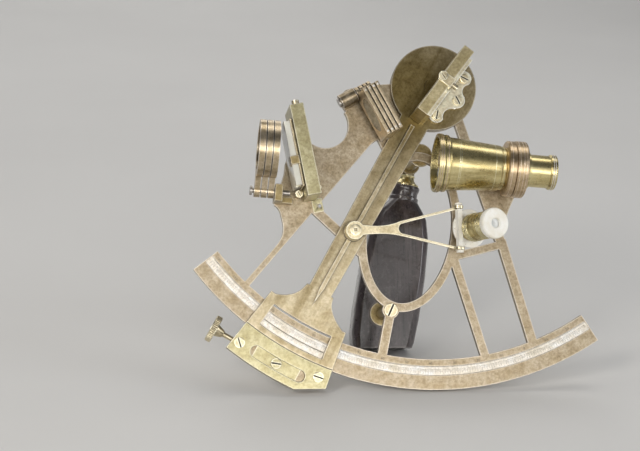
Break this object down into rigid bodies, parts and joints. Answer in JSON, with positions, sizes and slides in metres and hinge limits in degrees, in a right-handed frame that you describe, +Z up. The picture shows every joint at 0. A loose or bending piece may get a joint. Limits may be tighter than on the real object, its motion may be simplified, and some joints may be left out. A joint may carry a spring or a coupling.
{
  "type": "nautical sextant",
  "caption": "Brass vernier sextant with index arm, index and horizon mirrors, hinged shades, telescope, reading magnifier and wooden handle, standing tilted back.",
  "frame": {"origin": "on the ground under the middle of the part's bounding box", "axes": "+Z up, +X to the right along the telescope's side, -Y towards the viewer of the arc's face; the instrument's plane leans back 25 degrees"},
  "size_m": [0.261, 0.125, 0.2139],
  "materials": {
    "frame_brass": "dulled, lightly tarnished",
    "pale_brass": "worn satin",
    "yellow_brass": "polished and lacquered",
    "green_brass": "satin, greenish tarnish",
    "collar_brass": "brown tarnish",
    "dark_brass": "dark tarnish",
    "shade_brass": "worn satin",
    "silver": "matt silver",
    "steel": "satin",
    "white_paint": "yellowed gloss",
    "mirror": "silvered glass",
    "horizon_mirror": "half-silvered glass",
    "clear_glass": "polished",
    "smoked_glass": "dark filter glass",
    "wood": "dark polished hardwood"
  },
  "bodies": {
    "base": {"frame": "frame_brass", "silver_arc": "silver", "hub_bush": "pale_brass", "index_shade_bracket": "frame_brass", "shade_pins": "steel", "horizon_glass": "horizon_mirror", "horizon_glass_cell": "dark_brass", "horizon_mirror_frame": "green_brass", "horizon_mirror_screws": "pale_brass", "horizon_shade_bracket": "dark_brass", "rising_socket": "frame_brass", "handle_grip": "wood", "handle_ferrule": "yellow_brass", "handle_upper_bracket": "dark_brass", "handle_lower_pillar": "dark_brass", "handle_screws": "pale_brass"},
    "arm": {"index_arm": "pale_brass", "vernier_scale": "silver", "index_centre": "pale_brass", "centre_nut": "pale_brass", "index_mirror_glass": "mirror", "index_mirror_cell": "green_brass", "index_mirror_bracket": "pale_brass", "index_mirror_clip": "pale_brass", "index_mirror_screws": "pale_brass", "magnifier_pivot": "pale_brass", "tangent_box": "frame_brass", "tangent_cover": "green_brass", "cover_screws": "pale_brass"},
    "magnifier_washer": {"magnifier_washer": "yellow_brass"},
    "magnifier_arm": {"magnifier_arm": "pale_brass"},
    "magnifier_tube": {"magnifier_yoke": "white_paint", "magnifier_reflector": "white_paint", "magnifier_barrel": "yellow_brass", "magnifier_cap": "white_paint", "magnifier_lens": "clear_glass"},
    "tangent_screw": {"tangent_screw": "pale_brass"},
    "clamp_slide": {"clamp_slide": "green_brass"},
    "clamp_shoe": {"clamp_shoe": "dark_brass"},
    "clamp_screw": {"clamp_screw": "pale_brass"},
    "index_shade_1": {"index_shade_1": "shade_brass", "index_shade_glass_1": "smoked_glass"},
    "index_shade_2": {"index_shade_2": "shade_brass", "index_shade_glass_2": "smoked_glass"},
    "index_shade_3": {"index_shade_3": "shade_brass", "index_shade_glass_3": "smoked_glass"},
    "index_shade_4": {"index_shade_4": "shade_brass", "index_shade_glass_4": "smoked_glass"},
    "horizon_shade_1": {"horizon_shade_1": "shade_brass", "horizon_shade_glass_1": "smoked_glass"},
    "horizon_shade_2": {"horizon_shade_2": "shade_brass", "horizon_shade_glass_2": "smoked_glass"},
    "horizon_shade_3": {"horizon_shade_3": "shade_brass", "horizon_shade_glass_3": "smoked_glass"},
    "telescope": {"telescope_body": "yellow_brass", "objective_lens": "clear_glass", "telescope_collar": "collar_brass"},
    "draw_tube": {"draw_tube": "yellow_brass", "eye_lens": "clear_glass"},
    "rising_knob": {"rising_knob": "yellow_brass"}
  },
  "joints": [
    {"name": "index_arm_hinge", "type": "hinge", "parent": "base", "child": "arm", "pos_m": [0.02519, 0.02258, 0.17884], "axis": [0, -0.9063, 0.4226], "range_deg": [-6, 52]},
    {"name": "magnifier_washer_hinge", "type": "hinge", "parent": "arm", "child": "magnifier_washer", "pos_m": [-0.02863, -0.02801, 0.09874], "axis": [0, -0.9063, 0.4226], "range_deg": [-52, 6]},
    {"name": "magnifier_arm_hinge", "type": "hinge", "parent": "magnifier_washer", "child": "magnifier_arm", "pos_m": [-0.02863, -0.02847, 0.09895], "axis": [0, -0.9063, 0.4226], "range_deg": [-125, 4]},
    {"name": "magnifier_tilt", "type": "hinge", "parent": "magnifier_arm", "child": "magnifier_tube", "pos_m": [0.03756, -0.03251, 0.10211], "axis": [-0.0175, 0.4226, 0.9062], "range_deg": [-35, 0]},
    {"name": "tangent_screw_turn", "type": "hinge", "parent": "arm", "child": "tangent_screw", "pos_m": [-0.07693, -0.05043, 0.01613], "axis": [0.8678, -0.21, -0.4504], "range_deg": [-1790, 1790]},
    {"name": "clamp_slide_travel", "type": "slide", "parent": "arm", "child": "clamp_slide", "axis": [0.8678, -0.21, -0.4504], "range_m": [-0.005, 0.005]},
    {"name": "clamp_screw_turn", "type": "hinge", "parent": "clamp_slide", "child": "clamp_screw", "pos_m": [-0.07022, -0.03707, 0.02727], "axis": [0, -0.9063, 0.4226], "range_deg": [0, 490]},
    {"name": "clamp_shoe_travel", "type": "slide", "parent": "clamp_slide", "child": "clamp_shoe", "axis": [0, 0.9063, -0.4226], "range_m": [0, 0.0011]},
    {"name": "index_shade_1_hinge", "type": "hinge", "parent": "base", "child": "index_shade_1", "pos_m": [-0.01763, 0.01144, 0.18241], "axis": [-0.8829, -0.1984, -0.4255], "range_deg": [0, 100]},
    {"name": "index_shade_2_hinge", "type": "hinge", "parent": "base", "child": "index_shade_2", "pos_m": [-0.02019, 0.01087, 0.18117], "axis": [-0.8829, -0.1984, -0.4255], "range_deg": [0, 100]},
    {"name": "index_shade_3_hinge", "type": "hinge", "parent": "base", "child": "index_shade_3", "pos_m": [-0.02275, 0.01029, 0.17994], "axis": [-0.8829, -0.1984, -0.4255], "range_deg": [0, 100]},
    {"name": "index_shade_4_hinge", "type": "hinge", "parent": "base", "child": "index_shade_4", "pos_m": [-0.02531, 0.00972, 0.17871], "axis": [-0.8829, -0.1984, -0.4255], "range_deg": [0, 100]},
    {"name": "horizon_shade_1_hinge", "type": "hinge", "parent": "base", "child": "horizon_shade_1", "pos_m": [-0.08185, -0.01761, 0.12104], "axis": [0.9968, -0.0339, -0.0727], "range_deg": [0, 110]},
    {"name": "horizon_shade_2_hinge", "type": "hinge", "parent": "base", "child": "horizon_shade_2", "pos_m": [-0.08623, -0.01746, 0.12136], "axis": [0.9968, -0.0339, -0.0727], "range_deg": [0, 110]},
    {"name": "horizon_shade_3_hinge", "type": "hinge", "parent": "base", "child": "horizon_shade_3", "pos_m": [-0.09062, -0.01732, 0.12168], "axis": [0.9968, -0.0339, -0.0727], "range_deg": [0, 110]},
    {"name": "telescope_rise", "type": "slide", "parent": "base", "child": "telescope", "axis": [0, -0.9063, 0.4226], "range_m": [0, 0.007]},
    {"name": "focus_slide", "type": "slide", "parent": "telescope", "child": "draw_tube", "axis": [0.9968, -0.0339, -0.0727], "range_m": [-0.003, 0.008]},
    {"name": "rising_knob_turn", "type": "hinge", "parent": "base", "child": "rising_knob", "pos_m": [0.07228, 0.02589, 0.11496], "axis": [0, -0.9063, 0.4226], "range_deg": [0, 2521]}
  ],
  "couplings": [
    {"joint": "magnifier_washer_hinge", "follows": "index_arm_hinge", "ratio": -1},
    {"joint": "clamp_slide_travel", "follows": "tangent_screw_turn", "m_per_rad": 0.00015915},
    {"joint": "clamp_shoe_travel", "follows": "clamp_screw_turn", "m_per_rad": 0.00012732},
    {"joint": "rising_knob_turn", "follows": "telescope_rise", "rad_per_m": 6283.2}
  ]
}
